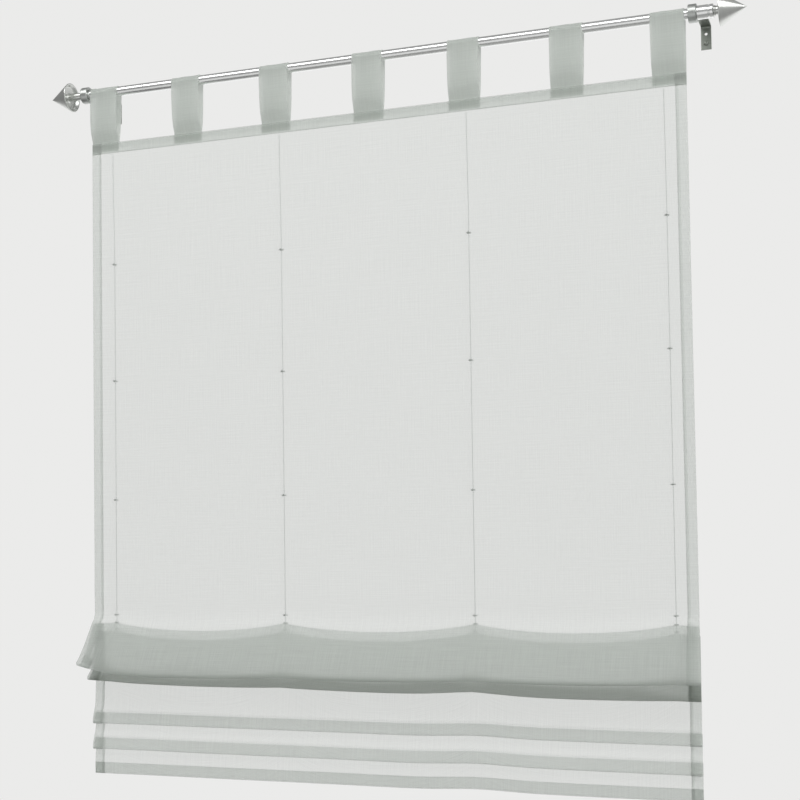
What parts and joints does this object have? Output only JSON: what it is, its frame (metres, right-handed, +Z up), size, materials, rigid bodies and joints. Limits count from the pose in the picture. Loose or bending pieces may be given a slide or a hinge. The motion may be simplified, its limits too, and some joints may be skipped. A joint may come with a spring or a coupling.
{
  "type": "roman shade on a curtain rod",
  "caption": "Sheer roman shade with tab loops, lift cords and rings, one hanging billow and horizontal tucks above the hem, on a metal rod with cone finials and wall brackets.",
  "frame": {"origin": "on the wall's face, level with the rod's axis and midway along the cloth", "axes": "+X along the rod, to the right as seen from the room; +Y into the wall; +Z up"},
  "size_m": [1.168, 0.1249, 1.17],
  "materials": {
    "sheer_cloth": "thin plain-woven sheer voile, light warm grey, matt; hems, tucks and the billow are denser where layers overlap",
    "tab_cloth": "the same voile folded to several layers, nearly opaque light grey",
    "lift_cord": "thin braided white-grey cord",
    "ring": "small clear plastic ring",
    "polished_rod": "polished silver metal tube",
    "finial": "turned silver metal, satin to polished, fine turning marks",
    "bracket": "satin silver-grey metal strap with a collar"
  },
  "bodies": {
    "root": {"shade_cloth": "sheer_cloth", "tab_1": "tab_cloth", "tab_2": "tab_cloth", "tab_3": "tab_cloth", "tab_4": "tab_cloth", "tab_5": "tab_cloth", "tab_6": "tab_cloth", "tab_7": "tab_cloth", "lift_cord_1": "lift_cord", "lift_cord_2": "lift_cord", "lift_cord_3": "lift_cord", "lift_cord_4": "lift_cord", "ring_1_1": "ring", "ring_1_2": "ring", "ring_1_3": "ring", "ring_1_4": "ring", "ring_1_5": "ring", "ring_1_6": "ring", "ring_2_1": "ring", "ring_2_2": "ring", "ring_2_3": "ring", "ring_2_4": "ring", "ring_2_5": "ring", "ring_2_6": "ring", "ring_3_1": "ring", "ring_3_2": "ring", "ring_3_3": "ring", "ring_3_4": "ring", "ring_3_5": "ring", "ring_3_6": "ring", "ring_4_1": "ring", "ring_4_2": "ring", "ring_4_3": "ring", "ring_4_4": "ring", "ring_4_5": "ring", "ring_4_6": "ring", "curtain_rod": "polished_rod", "end_sleeve": "polished_rod", "finial_left": "finial", "finial_right": "finial", "bracket_left": "bracket", "bracket_right": "bracket"}
  },
  "joints": []
}
